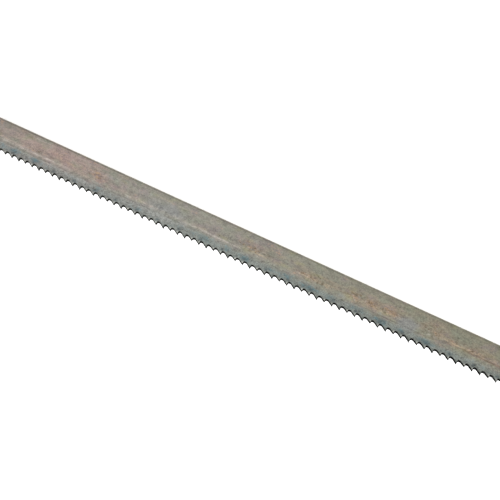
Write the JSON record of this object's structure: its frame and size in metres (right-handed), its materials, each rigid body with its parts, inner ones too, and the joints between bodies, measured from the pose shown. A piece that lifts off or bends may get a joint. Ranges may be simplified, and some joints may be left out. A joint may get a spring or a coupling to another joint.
{
  "type": "saw blade",
  "caption": "Straight narrow steel saw blade for a jeweler's saw frame: fine raker-set hook-backed teeth along one edge, a flat back edge, and a plain flat clamping tab at each end.",
  "frame": {"origin": "middle of the flat back edge, half way along the blade and half way through its thickness", "axes": "+X along the blade, opposite to the way the cutting faces of the teeth look; +Y through the thickness; +Z from the back edge to the tooth points"},
  "size_m": [0.13, 0.001, 0.0063],
  "materials": {
    "blade_steel": "rolled strip steel with brown and blue-grey temper colours, satin"
  },
  "bodies": {
    "root": {"blade": "blade_steel"}
  },
  "joints": []
}
